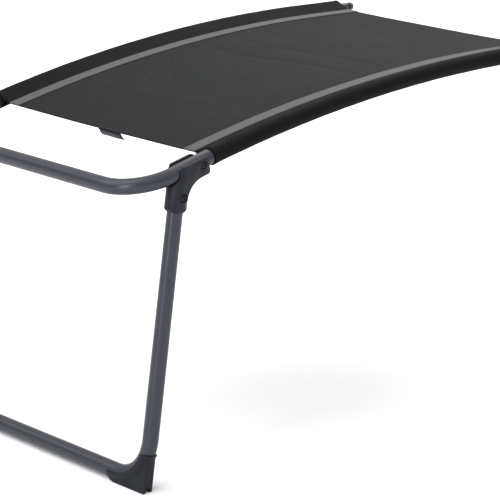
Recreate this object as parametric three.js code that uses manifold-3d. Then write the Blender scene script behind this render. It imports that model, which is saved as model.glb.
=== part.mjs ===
// Folding leg rest for a reclining garden chair: an arched sling frame on a hinged U-shaped leg.
// Millimetres, +Z up, +X to the right, +Y from the foot end towards the chair.
// The origin is on the floor, under the middle of the object's bounding box.
import * as THREE from "three";
import { mergeVertices } from "three/addons/utils/BufferGeometryUtils.js";
import Module from "manifold-3d";

const wasm = await Module();
wasm.setup();

// ---- Driving dimensions -------------------------------------------------------------------------
const DEG = Math.PI / 180;
const TUBE_R = 11; // both frames are bent from one 22 mm tube
const TUBE_WALL = 1.5;
const RAIL_SPACING = 455; // between the axes of the two side rails
const GAP = 0.3; // between pieces that touch

const FRONT_BEND_R = 65.5; // axis radius of the two corners of the upper frame
const RAIL_PITCH = 12.4 * DEG; // slope of the rails where they leave the corners
const ARCH_R = 2680; // the rails bow upwards along this radius
const ARCH_LENGTH = 690;
const RAIL_LENGTH = 776; // from the corner to the open end, along the rail

const LEG_BEND_R = 59;
const LEG_TILT = 8.8 * DEG; // the legs lean, feet forward
const LEG_BAR_Y = 9; // axis of the leg frame's lower bar, from the front bar's axis
const LEG_BAR_Z = -403.6;
const LEG_TUBE_TOP = 406; // end of the leg tube, along the leg from the lower bar's axis

const SOLE_DROP = 13.6; // floor below the lower bar's axis
const PIVOT_ALONG_RAIL = 41.5; // pivot bolt, along the rail from the corner
const LEG_BOLT_ALONG_LEG = 392; // lower bolt, along the leg

const BRACKET_HALF = 15; // half the bracket's thickness
const SOCKET_R = 15.1;
const SOCKET_BOTTOM = 371.5; // along the leg
const SOCKET_STOCK = 120; // length of the socket before its top is cut off
const SOCKET_CHAMFER = 3.3;
const CHEEK_TOP = 9.6; // above the rail's axis
const CHEEK_REAR = 9.6; // behind the pivot
const SADDLE_R = 14.9; // underside of the cheeks, below the rail's axis
const WEB_ARC_R = 33.3; // hollow curve between the socket and the saddle
const WEB_ARC_START = -6;
const SADDLE_FLOOR_END = -17; // the floor under the rail stops here, so that the bracket can swing
const CHANNEL_R = TUBE_R + GAP;
const MOUTH_R = 12.8; // wider mouth of the bracket's channel, in front of the cheeks
const MOUTH_END = 2.5; // along the rail

const BOLT_R = 3;
const BOLT_HOLE_R = 3.2;
const BOLT_HEAD_R = 4.8;
const BOLT_HEAD = 2;
const BOLT_TIP = BRACKET_HALF + 2.6;
const KEY_R = 1.9; // the head's hexagonal recess
const KEY_DEPTH = 1.1;
const SEAT_FIT = 0.1; // head and nut stand this far off their seats
const BUSH_FIT = 0.1;
const RECESS_R = 5.7;
const RECESS_DEPTH = 2.2;
const NUT_R = 5.3; // across the corners, half
const NUT_HEIGHT = 4;
const NUT_FIT = 0.15;
const BUSH_R = 4.7;
const BUSH_BORE_R = 3.06;

const FOOT_R = 12.9; // outside of the foot's shell round the tube
const FOOT_LIP = 0.5; // the shell reaches this far past the tube's axis
const FOOT_HALF_WIDTH = 7.7;
const FOOT_INNER_X = 159;
const FOOT_OUTER_X = 232.8;
const FOOT_TOE = 9; // rounding of the sole's inner end
const FOOT_RIM = 39; // height of the rim, along the leg
const RIM_X = 224; // axis of the rim, where the bend has left the leg's axis
const FOOT_RIM_HEIGHT = 2;
const FOOT_RIM_PROUD = 0.5;
const NOTCH_HALF = 4;
const NOTCH_DEEP = 14;
const NOTCH_HIGH = 6.5;

const SLING_START = 65.5; // along the rail
const SLING_END = 778;
const SLING_THICK = 0.8;
const SLEEVE_R = TUBE_R + 0.35;
const SEAM_INBOARD = 28.9; // seam of the sleeve, inboard of the rail's axis
const SEAM_RISE = 1;
const SLEEVE_LAP = 4; // where the sleeve's two layers lie together
const SLEEVE_TIP_HALF = 0.2;
const PANEL_SHORT = 2; // the panel ends this far before its sleeves
const SLING_SAG = 1.5;
const TAPE_WIDTH = 22;
const TAPE_THICK = 0.6;

const PEG_R = 6.7;
const PEG_GROOVE_R = 5;
const PEG_OUT = 37; // how far the peg stands out of the rail
const PEG_IN = 40;
const PEG_HEAD = 7.5;
const PEG_GROOVE = 3.5;
const PEG_CHAMFER = 1.2;

const END_BUSH_DEPTH = 30; // how far the bush reaches into the rail
const END_BUSH_COLLAR = 2.5; // its collar, outside the rail's end
const END_BUSH_COLLAR_R = TUBE_R - 0.8;

const LABEL_WIDTH = 47;
const LABEL_DROP = 14;
const LABEL_TILT = 25 * DEG;
const LABEL_BEHIND = 1; // behind the panel's front edge

const ROUND = 20; // sides of a tube
const ROUND_INSIDE = 8;
const ROUND_MOULDED = 32; // sides of a moulding's round parts
const ROUND_SMALL = 16; // sides of a bolt or peg
const CORNER_STEPS = 8; // sections in a bend
const RAIL_STEPS = 12;
const HALF = RAIL_SPACING / 2;

// ---- Rail axis ----------------------------------------------------------------------------------
// Point and slope of the rail's axis in the side view, a distance s from the corner's end.
function railAt(s) {
  const bowed = Math.min(Math.max(s, 0), ARCH_LENGTH);
  const slope = RAIL_PITCH - bowed / ARCH_R;
  const straight = s - bowed;
  const y = ARCH_R * (Math.sin(RAIL_PITCH) - Math.sin(slope)) + straight * Math.cos(slope);
  const z = ARCH_R * (Math.cos(slope) - Math.cos(RAIL_PITCH)) + straight * Math.sin(slope);
  return {
    y: FRONT_BEND_R * Math.cos(RAIL_PITCH) + y,
    z: FRONT_BEND_R * Math.sin(RAIL_PITCH) + z,
    slope,
  };
}

const RAIL_END = railAt(RAIL_LENGTH);
const PEG_END_Y = RAIL_END.y + PEG_OUT * Math.cos(RAIL_END.slope);
const FLOOR_Z = LEG_BAR_Z - SOLE_DROP;
const MIDDLE_Y = (PEG_END_Y - TUBE_R) / 2;
const PIVOT = railAt(PIVOT_ALONG_RAIL);

// ---- Geometry helpers ---------------------------------------------------------------------------
// A path given by stations, so that bends get more sections than straight runs.
class StationPath extends THREE.Curve {
  constructor(stations) {
    super();
    this.stations = stations;
  }
  station(t) {
    return this.stations[Math.round(t * (this.stations.length - 1))];
  }
  getPoint(t, target = new THREE.Vector3()) {
    return target.copy(this.station(t).point);
  }
  getTangent(t, target = new THREE.Vector3()) {
    return target.copy(this.station(t).tangent);
  }
  getUtoTmapping(u) {
    return u;
  }
}

function station(px, py, pz, tx, ty, tz) {
  const tangent = new THREE.Vector3(tx, ty, tz).normalize();
  return { point: new THREE.Vector3(px, py, pz), tangent };
}

function sweep(shape, stations, curveSegments) {
  const path = new StationPath(stations);
  const options = { steps: stations.length - 1, extrudePath: path, curveSegments };
  return new THREE.ExtrudeGeometry(shape, options);
}

function disc(radius, sides) {
  return polygon(circlePoints(radius, sides));
}

function tubeSection() {
  const shape = disc(TUBE_R, ROUND);
  shape.holes.push(new THREE.Path(circlePoints(TUBE_R - TUBE_WALL, ROUND_INSIDE)));
  return shape;
}

function circlePoints(radius, sides) {
  const points = [];
  for (let i = 0; i < sides; i++) {
    const angle = (2 * Math.PI * i) / sides;
    points.push(new THREE.Vector2(radius * Math.cos(angle), radius * Math.sin(angle)));
  }
  return points;
}

function polygon(points) {
  return new THREE.Shape(points);
}

// A cylinder along X between two x positions.
function cylinderX(radius, x0, x1, y, z, sides = ROUND_SMALL) {
  const geometry = new THREE.CylinderGeometry(radius, radius, x1 - x0, sides);
  geometry.rotateZ(Math.PI / 2);
  return geometry.translate((x0 + x1) / 2, y, z);
}

function box(x0, x1, y0, y1, z0, z1) {
  const geometry = new THREE.BoxGeometry(x1 - x0, y1 - y0, z1 - z0);
  return geometry.translate((x0 + x1) / 2, (y0 + y1) / 2, (z0 + z1) / 2);
}

// A side-view outline (y to the right, z up) made solid between two x positions.
function acrossX(shape, x0, x1, curveSegments = 8) {
  const options = { depth: x1 - x0, bevelEnabled: false, curveSegments };
  const geometry = new THREE.ExtrudeGeometry(shape, options);
  geometry.applyMatrix4(new THREE.Matrix4().set(0, 0, 1, x0, 1, 0, 0, 0, 0, 1, 0, 0, 0, 0, 0, 1));
  return geometry;
}

function solid(geometry) {
  const bare = geometry.index ? geometry.toNonIndexed() : geometry.clone();
  bare.deleteAttribute("normal");
  bare.deleteAttribute("uv");
  const merged = mergeVertices(bare, 1e-4);
  const vertProperties = merged.attributes.position.array;
  const triVerts = new Uint32Array(merged.index.array);
  return new wasm.Manifold(new wasm.Mesh({ numProp: 3, vertProperties, triVerts }));
}

function surface(manifold) {
  const mesh = manifold.getMesh();
  const geometry = new THREE.BufferGeometry();
  geometry.setAttribute("position", new THREE.BufferAttribute(mesh.vertProperties, 3));
  geometry.setIndex(new THREE.BufferAttribute(mesh.triVerts, 1));
  const flat = geometry.toNonIndexed();
  flat.computeVertexNormals();
  return flat;
}

function cut(manifold, ...tools) {
  return tools.reduce((left, tool) => left.subtract(solid(tool)), manifold);
}

// The same piece on the other side of the middle plane.
function mirrored(geometry) {
  const flipped = geometry.index ? geometry.toNonIndexed() : geometry.clone();
  const position = flipped.attributes.position;
  for (let i = 0; i < position.count; i += 3) {
    const corners = [0, 2, 1].map((k) => new THREE.Vector3().fromBufferAttribute(position, i + k));
    corners.forEach((corner, k) => position.setXYZ(i + k, -corner.x, corner.y, corner.z));
  }
  flipped.computeVertexNormals();
  return flipped;
}

// From the plane of the leg frame (x across, y up the leg, z to the front) to the side view's axes.
function fromLegPlane(geometry) {
  return geometry.rotateX(Math.PI / 2 - LEG_TILT).translate(0, LEG_BAR_Y, LEG_BAR_Z);
}

// From the bracket's own axes (y along the rail, z up from the pivot) to the side view's axes.
function fromPivot(geometry) {
  return geometry.rotateX(PIVOT.slope).translate(0, PIVOT.y, PIVOT.z);
}

function legPoint(along) {
  return {
    y: LEG_BAR_Y + along * Math.sin(LEG_TILT),
    z: LEG_BAR_Z + along * Math.cos(LEG_TILT),
  };
}

// ---- Tubes --------------------------------------------------------------------------------------
// Right half of the front bar and its corner, in the plane that the corners are bent in.
function cornerStations(bendR, steps) {
  const stations = [];
  for (let i = 0; i <= steps; i++) {
    const angle = (Math.PI / 2) * (i / steps);
    const x = HALF - bendR + bendR * Math.sin(angle);
    const y = bendR * (1 - Math.cos(angle));
    stations.push(station(x, y, 0, Math.cos(angle), Math.sin(angle), 0));
  }
  return stations;
}

function turnedAboutX(stations, angle, dy, dz) {
  const axis = new THREE.Vector3(1, 0, 0);
  const shift = new THREE.Vector3(0, dy, dz);
  return stations.map(({ point, tangent }) => ({
    point: point.clone().applyAxisAngle(axis, angle).add(shift),
    tangent: tangent.clone().applyAxisAngle(axis, angle),
  }));
}

function railStations(x, start, end, steps) {
  const stations = [];
  for (let i = 0; i <= steps; i++) {
    const { y, z, slope } = railAt(start + ((end - start) * i) / steps);
    stations.push(station(x, y, z, 0, Math.cos(slope), Math.sin(slope)));
  }
  return stations;
}

// A U from its right half: the left half is the mirror image, walked the other way.
function wholeU(rightHalf) {
  const left = rightHalf.map(({ point, tangent }) =>
    station(-point.x, point.y, point.z, tangent.x, -tangent.y, -tangent.z),
  );
  return [...left.reverse(), ...rightHalf];
}

// Drills that cross the tube on each side at the same height.
function throughBothRails(radius, at) {
  return [-HALF, HALF].map((x) => cylinderX(radius, x - 2 * TUBE_R, x + 2 * TUBE_R, at.y, at.z));
}

function upperFrameTube() {
  const corner = turnedAboutX(cornerStations(FRONT_BEND_R, CORNER_STEPS), RAIL_PITCH, 0, 0);
  const rail = railStations(HALF, 0, RAIL_LENGTH, RAIL_STEPS).slice(1);
  const tube = solid(sweep(tubeSection(), wholeU([...corner, ...rail]), ROUND));
  return surface(cut(tube, ...throughBothRails(BUSH_R + BUSH_FIT, PIVOT)));
}

function legFrameTube() {
  const corner = cornerStations(LEG_BEND_R, CORNER_STEPS);
  const top = station(HALF, LEG_TUBE_TOP, 0, 0, 1, 0);
  const stations = turnedAboutX([...corner, top], Math.PI / 2 - LEG_TILT, LEG_BAR_Y, LEG_BAR_Z);
  const tube = solid(sweep(tubeSection(), wholeU(stations), ROUND));
  return surface(cut(tube, ...throughBothRails(BOLT_HOLE_R, legPoint(LEG_BOLT_ALONG_LEG))));
}

// ---- Chair end of a rail ------------------------------------------------------------------------
function lathedAlongRail(profile) {
  const points = profile.map(([radius, along]) => new THREE.Vector2(radius, along));
  const geometry = new THREE.LatheGeometry(points, ROUND_SMALL);
  return geometry.rotateX(RAIL_END.slope).translate(HALF, RAIL_END.y, RAIL_END.z);
}

function railPeg() {
  const tip = PEG_OUT;
  const groove = tip - PEG_HEAD - PEG_GROOVE;
  return lathedAlongRail([
    [0, -PEG_IN],
    [PEG_R, -PEG_IN],
    [PEG_R, groove],
    [PEG_GROOVE_R, groove],
    [PEG_GROOVE_R, tip - PEG_HEAD],
    [PEG_R, tip - PEG_HEAD],
    [PEG_R, tip - PEG_CHAMFER],
    [PEG_R - PEG_CHAMFER, tip],
    [0, tip],
  ]);
}

function railEndBush() {
  const bore = PEG_R + GAP;
  const inside = (TUBE_R - TUBE_WALL) * Math.cos(Math.PI / ROUND_INSIDE) - GAP;
  return lathedAlongRail([
    [bore, -END_BUSH_DEPTH],
    [inside, -END_BUSH_DEPTH],
    [inside, GAP],
    [END_BUSH_COLLAR_R, GAP],
    [END_BUSH_COLLAR_R, END_BUSH_COLLAR],
    [bore, END_BUSH_COLLAR],
    [bore, -END_BUSH_DEPTH],
  ]);
}

// ---- Sling --------------------------------------------------------------------------------------
// Outline of a sleeve drawn tight from the rail to its seam; x points inboard.
function teardrop(radius, tipHalf, reach) {
  const tangent = Math.acos(radius / reach);
  const points = [new THREE.Vector2(reach, SEAM_RISE + tipHalf)];
  for (let i = 0; i <= ROUND_SMALL; i++) {
    const angle = tangent + ((2 * Math.PI - 2 * tangent) * i) / ROUND_SMALL;
    points.push(new THREE.Vector2(radius * Math.cos(angle), radius * Math.sin(angle)));
  }
  points.push(new THREE.Vector2(reach, SEAM_RISE - tipHalf));
  return points;
}

function slingSleeve() {
  const shape = polygon(teardrop(SLEEVE_R + SLING_THICK, SLING_THICK, SEAM_INBOARD));
  shape.holes.push(new THREE.Path(teardrop(SLEEVE_R, SLEEVE_TIP_HALF, SEAM_INBOARD - SLEEVE_LAP)));
  return sweep(shape, railStations(HALF, SLING_START, SLING_END, RAIL_STEPS), ROUND);
}

const PANEL_HALF = HALF - SEAM_INBOARD - GAP;

function panelHeight(x) {
  return SEAM_RISE - SLING_SAG * (1 - (x / PANEL_HALF) ** 2);
}

function slingPanel() {
  const shape = new THREE.Shape();
  const top = SEAM_RISE + SLING_THICK / 2;
  const bottom = SEAM_RISE - SLING_THICK / 2;
  shape.moveTo(-PANEL_HALF, bottom);
  shape.quadraticCurveTo(0, bottom - 2 * SLING_SAG, PANEL_HALF, bottom);
  shape.lineTo(PANEL_HALF, top);
  shape.quadraticCurveTo(0, top - 2 * SLING_SAG, -PANEL_HALF, top);
  return sweep(shape, railStations(0, SLING_START, SLING_END - PANEL_SHORT, RAIL_STEPS), 8);
}

function seamTape() {
  const lift = SLING_THICK / 2 + GAP;
  const inner = PANEL_HALF - TAPE_WIDTH;
  const outline = [
    new THREE.Vector2(-inner, panelHeight(inner) + lift),
    new THREE.Vector2(-inner, panelHeight(inner) + lift + TAPE_THICK),
    new THREE.Vector2(-PANEL_HALF, panelHeight(PANEL_HALF) + lift + TAPE_THICK),
    new THREE.Vector2(-PANEL_HALF, panelHeight(PANEL_HALF) + lift),
  ];
  return sweep(polygon(outline), railStations(0, SLING_START, SLING_END - PANEL_SHORT, RAIL_STEPS), 1);
}

// Care label, sewn under the front edge and hanging back from it.
function slingLabel() {
  const front = railAt(SLING_START);
  const drop = SLING_SAG - SEAM_RISE + SLING_THICK / 2 + 2 * GAP;
  const geometry = new THREE.BoxGeometry(LABEL_WIDTH, SLING_THICK, LABEL_DROP);
  geometry.translate(LABEL_WIDTH / 2, 0, -LABEL_DROP / 2);
  geometry.rotateX(LABEL_TILT);
  return geometry.translate(0, front.y + LABEL_BEHIND, front.z - drop);
}

// ---- Bracket ------------------------------------------------------------------------------------
// Side outline of the cheeks, from the pivot: y along the rail, z up.
function cheekOutline() {
  const corner = 8;
  const heel = 3;
  const front = -45;
  const arcEnd = Math.PI / 2 + (Math.PI / 2 - PIVOT.slope - LEG_TILT);
  const shape = new THREE.Shape();
  shape.moveTo(front + 12, CHEEK_TOP);
  shape.lineTo(front, -SADDLE_R - 0.7 * WEB_ARC_R);
  shape.absarc(WEB_ARC_START, -SADDLE_R - WEB_ARC_R, WEB_ARC_R, arcEnd, Math.PI / 2, true);
  shape.lineTo(CHEEK_REAR - heel, -SADDLE_R);
  shape.lineTo(CHEEK_REAR, -SADDLE_R + heel);
  shape.absarc(CHEEK_REAR - corner, CHEEK_TOP - corner, corner, 0, Math.PI / 2, false);
  return shape;
}

// What is cut off the top front corner of the cheeks.
function noseCorner() {
  const rear = -34;
  const front = -60;
  const above = CHEEK_TOP + 1;
  return polygon([
    new THREE.Vector2(rear, above),
    new THREE.Vector2(front, above),
    new THREE.Vector2(front, above + front - rear),
  ]);
}

function socketCylinder() {
  const top = SOCKET_BOTTOM + SOCKET_STOCK;
  const profile = [
    [0, SOCKET_BOTTOM],
    [SOCKET_R - SOCKET_CHAMFER, SOCKET_BOTTOM],
    [SOCKET_R, SOCKET_BOTTOM + SOCKET_CHAMFER],
    [SOCKET_R, top],
    [0, top],
  ];
  const points = profile.map(([radius, along]) => new THREE.Vector2(radius, along));
  return fromLegPlane(new THREE.LatheGeometry(points, ROUND_MOULDED).translate(HALF, 0, 0));
}

function socketBore() {
  const deep = LEG_TUBE_TOP + GAP;
  const shallow = SOCKET_BOTTOM - 10;
  const geometry = new THREE.CylinderGeometry(CHANNEL_R, CHANNEL_R, deep - shallow, ROUND_MOULDED);
  geometry.translate(HALF, (deep + shallow) / 2, 0);
  return fromLegPlane(geometry);
}

// Room for the rail: a round bed open to the top, and a wider mouth in front of the cheeks.
function railChannel() {
  const [front, rear] = [-60, 120];
  const clear = 60;
  const [left, right] = [HALF - CHANNEL_R, HALF + CHANNEL_R];
  const bed = sweep(disc(CHANNEL_R, ROUND_MOULDED), railStations(HALF, front, rear, 12), ROUND);
  const mouth = sweep(disc(MOUTH_R, ROUND_MOULDED), railStations(HALF, front, MOUTH_END, 4), ROUND);
  const slot = box(left, right, -80, clear, 0, clear);
  const swing = box(left, right, SADDLE_FLOOR_END, clear, -clear, 0.5);
  return [bed, mouth, fromPivot(slot), fromPivot(swing)];
}

function ordered(a, b) {
  return [Math.min(a, b), Math.max(a, b)];
}

function recess(x0, x1, at, radius) {
  return cylinderX(radius, x0, x1, at.y, at.z);
}

// One half of the bracket: side is +1 for the outer half and -1 for the inner half.
function bracketHalf(side) {
  const plates = solid(fromPivot(acrossX(cheekOutline(), HALF - BRACKET_HALF, HALF + BRACKET_HALF)));
  const above = fromPivot(box(HALF - 40, HALF + 40, -90, 60, CHEEK_TOP, 160));
  const nose = fromPivot(acrossX(noseCorner(), HALF - 40, HALF + 40));
  const body = plates.add(cut(solid(socketCylinder()), above, nose));
  const bolts = [PIVOT, legPoint(LEG_BOLT_ALONG_LEG)];
  const holes = bolts.map((at) => recess(HALF - 30, HALF + 30, at, BOLT_HOLE_R));
  const face = HALF + side * (BRACKET_HALF - RECESS_DEPTH);
  const [seatLow, seatHigh] = ordered(face, face + side * 20);
  const seats = bolts.map((at) => recess(seatLow, seatHigh, at, RECESS_R));
  const split = HALF + (side * GAP) / 2;
  const [otherLow, otherHigh] = ordered(split, split - side * 40);
  const other = box(otherLow, otherHigh, -50, 200, -120, 120);
  return surface(cut(body, ...railChannel(), socketBore(), ...holes, ...seats, other));
}

// ---- Fasteners ----------------------------------------------------------------------------------
// A button-head bolt along X with a hexagonal key recess; its head is in the outer recess.
function bolt(at) {
  const seat = BRACKET_HALF - RECESS_DEPTH + SEAT_FIT;
  const profile = [
    [0, -BOLT_TIP],
    [BOLT_R, -BOLT_TIP],
    [BOLT_R, seat],
    [BOLT_HEAD_R, seat],
    [BOLT_HEAD_R, seat + 0.4 * BOLT_HEAD],
    [0.7 * BOLT_HEAD_R, seat + 0.95 * BOLT_HEAD],
    [0, seat + BOLT_HEAD],
  ];
  const points = profile.map(([radius, along]) => new THREE.Vector2(radius, along));
  const body = solid(new THREE.LatheGeometry(points, ROUND_SMALL));
  const key = new THREE.CylinderGeometry(KEY_R, KEY_R, 2 * BOLT_HEAD, 6);
  key.translate(0, seat + 2 * BOLT_HEAD - KEY_DEPTH, 0);
  const geometry = surface(cut(body, key));
  return geometry.rotateZ(-Math.PI / 2).translate(HALF, at.y, at.z);
}

function nut(at) {
  const seat = HALF - (BRACKET_HALF - RECESS_DEPTH + SEAT_FIT);
  const body = solid(cylinderX(NUT_R, seat - NUT_HEIGHT, seat, at.y, at.z, 6));
  const thread = cylinderX(BOLT_R + NUT_FIT, HALF - 2 * BRACKET_HALF, HALF, at.y, at.z);
  return surface(cut(body, thread));
}

function pivotBush() {
  const half = CHANNEL_R - 0.2;
  const body = solid(cylinderX(BUSH_R, HALF - half, HALF + half, PIVOT.y, PIVOT.z));
  const bore = cylinderX(BUSH_BORE_R, HALF - 2 * half, HALF + 2 * half, PIVOT.y, PIVOT.z);
  return surface(cut(body, bore));
}

// ---- Foot ---------------------------------------------------------------------------------------
// Everything below is drawn in the plane of the leg frame, then turned with it.
function bendStations(x0, rise) {
  const stations = cornerStations(LEG_BEND_R, CORNER_STEPS);
  return [station(x0, 0, 0, 1, 0, 0), ...stations, station(HALF, rise, 0, 0, 1, 0)];
}

// The flat web that fills the square corner outside the bend, with rounded edges.
function footWeb() {
  const bottom = -SOLE_DROP - 6;
  const shape = new THREE.Shape();
  shape.moveTo(FOOT_INNER_X, bottom);
  shape.lineTo(FOOT_OUTER_X, bottom);
  shape.lineTo(FOOT_OUTER_X, FOOT_RIM);
  shape.lineTo(HALF - LEG_BEND_R, FOOT_RIM);
  shape.lineTo(FOOT_INNER_X, 0);
  const options = { depth: 2 * FOOT_HALF_WIDTH, bevelEnabled: false };
  return new THREE.ExtrudeGeometry(shape, options).translate(0, 0, -FOOT_HALF_WIDTH);
}

// What is cut off below the inner end of the foot, which leaves a round toe.
function toeRound() {
  const outside = FOOT_INNER_X - 0.2;
  const below = -SOLE_DROP - 10;
  const shape = new THREE.Shape();
  shape.moveTo(outside - 5, below);
  shape.lineTo(FOOT_INNER_X + FOOT_TOE, below);
  shape.lineTo(FOOT_INNER_X + FOOT_TOE, -SOLE_DROP);
  shape.quadraticCurveTo(outside, -SOLE_DROP, outside, FOOT_TOE - SOLE_DROP);
  shape.lineTo(outside - 5, FOOT_TOE - SOLE_DROP);
  const options = { depth: 60, bevelEnabled: false, curveSegments: 8 };
  return new THREE.ExtrudeGeometry(shape, options).translate(0, 0, -30);
}

// Side view of the small arch in the outer end of the sole.
function notchArch() {
  const middle = LEG_BAR_Y - SOLE_DROP * Math.sin(LEG_TILT);
  const spring = FLOOR_Z + NOTCH_HIGH - NOTCH_HALF;
  const arch = new THREE.Shape();
  arch.moveTo(middle - NOTCH_HALF, FLOOR_Z - 5);
  arch.lineTo(middle + NOTCH_HALF, FLOOR_Z - 5);
  arch.absarc(middle, spring, NOTCH_HALF, 0, Math.PI, false);
  return arch;
}

function cornerFoot() {
  const round = disc(FOOT_R, ROUND_MOULDED);
  const shell = solid(sweep(round, bendStations(FOOT_INNER_X, 2 * FOOT_RIM), ROUND));
  const rimR = FOOT_R + FOOT_RIM_PROUD;
  const rim = new THREE.CylinderGeometry(rimR, rimR, FOOT_RIM_HEIGHT, ROUND_MOULDED);
  rim.translate(RIM_X, FOOT_RIM - FOOT_RIM_HEIGHT / 2, 0);
  const above = box(0, 400, FOOT_RIM, 200, -60, 60);
  const centreX = HALF - LEG_BEND_R;
  const eye = new THREE.CylinderGeometry(LEG_BEND_R - FOOT_LIP, LEG_BEND_R - FOOT_LIP, 80, 48);
  eye.rotateX(Math.PI / 2).translate(centreX, LEG_BEND_R, 0);
  const inboard = box(0, centreX, FOOT_LIP, 200, -60, 60);
  const tube = sweep(disc(TUBE_R + GAP, ROUND_MOULDED), bendStations(100, 120), ROUND);
  const bulky = shell.add(solid(footWeb())).add(solid(rim));
  const shaped = surface(cut(bulky, above, eye, inboard, tube, toeRound()));
  const ground = box(0, 400, -100, 100, FLOOR_Z - 60, FLOOR_Z);
  const notch = acrossX(notchArch(), FOOT_OUTER_X - NOTCH_DEEP, FOOT_OUTER_X + 20);
  return surface(cut(solid(fromLegPlane(shaped)), ground, notch));
}

// ---- Materials ----------------------------------------------------------------------------------
function material(color, roughness, metalness) {
  return new THREE.MeshStandardMaterial({ color, roughness, metalness });
}

const tubeMetal = material(0x6f7178, 0.35, 0.85);
const mesh = material(0x42443f, 0.9, 0);
const sleeveMesh = material(0x2b2d2c, 0.9, 0);
const tape = material(0x77767a, 0.7, 0);
const nylon = material(0x33363e, 0.55, 0);
const steel = material(0xa9abb0, 0.3, 1);
const labelCloth = material(0x1c2233, 0.8, 0);

// ---- Assembly -----------------------------------------------------------------------------------
const rest = new THREE.Group();

function add(name, geometry, look) {
  const piece = new THREE.Mesh(geometry, look);
  piece.name = name;
  piece.position.set(0, -MIDDLE_Y, -FLOOR_Z);
  rest.add(piece);
}

function addPair(name, geometry, look) {
  add(name + "_right", geometry, look);
  add(name + "_left", mirrored(geometry), look);
}

const LEG_BOLT = legPoint(LEG_BOLT_ALONG_LEG);

add("upper_frame_tube", upperFrameTube(), tubeMetal);
addPair("rail_peg", railPeg(), steel);
addPair("rail_end_bush", railEndBush(), nylon);
add("sling_panel", slingPanel(), mesh);
addPair("sling_sleeve", slingSleeve(), sleeveMesh);
addPair("seam_tape", seamTape(), tape);
add("sling_label", slingLabel(), labelCloth);
addPair("pivot_bush", pivotBush(), steel);

add("leg_frame_tube", legFrameTube(), tubeMetal);
addPair("bracket_outer", bracketHalf(1), nylon);
addPair("bracket_inner", bracketHalf(-1), nylon);
addPair("corner_foot", cornerFoot(), nylon);
addPair("pivot_bolt", bolt(PIVOT), steel);
addPair("pivot_nut", nut(PIVOT), steel);
addPair("leg_bolt", bolt(LEG_BOLT), steel);
addPair("leg_nut", nut(LEG_BOLT), steel);

export default rest;
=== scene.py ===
"""Looks for a folding leg rest: bent tube frame, mesh sling, hinged leg with moulded brackets and feet."""

import logging
import math
from collections.abc import Callable, Sequence
from dataclasses import dataclass, field
from enum import Enum

import bmesh
import bpy
from bpy.types import Material, Mesh, Node, NodeSocket, NodeTree, Object
from mathutils import Matrix, Vector

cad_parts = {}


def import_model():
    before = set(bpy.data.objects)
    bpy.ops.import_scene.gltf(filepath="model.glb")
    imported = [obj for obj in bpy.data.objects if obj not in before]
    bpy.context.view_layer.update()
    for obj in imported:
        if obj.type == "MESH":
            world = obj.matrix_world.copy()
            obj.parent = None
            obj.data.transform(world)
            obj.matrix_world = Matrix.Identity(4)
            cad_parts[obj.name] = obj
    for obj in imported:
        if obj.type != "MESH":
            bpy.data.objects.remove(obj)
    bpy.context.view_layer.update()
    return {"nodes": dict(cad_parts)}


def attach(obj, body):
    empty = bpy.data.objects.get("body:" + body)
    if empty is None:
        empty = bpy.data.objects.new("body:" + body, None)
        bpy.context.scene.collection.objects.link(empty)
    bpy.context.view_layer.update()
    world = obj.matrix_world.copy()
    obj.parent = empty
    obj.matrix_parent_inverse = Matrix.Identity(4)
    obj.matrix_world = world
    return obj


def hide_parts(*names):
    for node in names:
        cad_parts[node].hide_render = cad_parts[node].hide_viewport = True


log = logging.getLogger("leg_rest")

MM = 0.001
TUBE_RADIUS = 11 * MM
TUBE_WALL = 1.5 * MM
TUBE_BORE = TUBE_RADIUS - TUBE_WALL
TUBE_SIDES = 48
HALF_SPACING = 227.5 * MM  # from the middle to the axes of the rails and of the legs
Colour = tuple[float, float, float]
Triple = tuple[float, float, float]
Pair = tuple[float, float]
Value = float | NodeSocket


class Side(Enum):
    """A side of the rest, as the sign of its x."""

    RIGHT = 1
    LEFT = -1

    @property
    def suffix(self) -> str:
        """The ending of the names of this side's pieces."""
        return self.name.lower()


class Body(Enum):
    """The two rigid bodies that the pieces ride on."""

    REST = "rest_frame"
    LEG = "leg_assembly"


# ---- Materials ----


def dimmed(colour: Colour, share: float) -> Colour:
    """A colour with every channel scaled."""
    return tuple(channel * share for channel in colour)


class Nodes:
    """A node tree, filled one node at a time."""

    def __init__(self, tree: NodeTree) -> None:
        """Takes the tree to fill."""
        self.tree = tree

    def node(self, kind: str, inputs: dict[str | int, object], **settings: object) -> Node:
        """Adds a node.

        Args:
            kind: The node's type, such as ShaderNodeMath.
            inputs: Values or sockets for its inputs, by name or index.
            settings: The node's own properties.

        Returns:
            The new node.
        """
        made = self.tree.nodes.new(kind)
        for key, value in settings.items():
            setattr(made, key, value)
        for key, value in inputs.items():
            self.feed(made.inputs[key], value)
        return made

    def feed(self, socket: NodeSocket, value: object) -> None:
        """Links a socket to another, or sets its value."""
        if isinstance(value, NodeSocket):
            self.tree.links.new(value, socket)
        elif isinstance(value, tuple) and len(value) == 3 and socket.type == "RGBA":
            socket.default_value = (*value, 1.0)
        else:
            socket.default_value = value

    def maths(self, operation: str, *values: Value) -> NodeSocket:
        """One step of arithmetic."""
        inputs = dict(enumerate(values))
        return self.node("ShaderNodeMath", inputs, operation=operation).outputs[0]

    def weigh(self, first: NodeSocket, weight: float, second: NodeSocket, other: float) -> NodeSocket:
        """The sum of two values, each times its weight."""
        return self.maths("ADD", self.maths("MULTIPLY", first, weight), self.maths("MULTIPLY", second, other))


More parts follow.
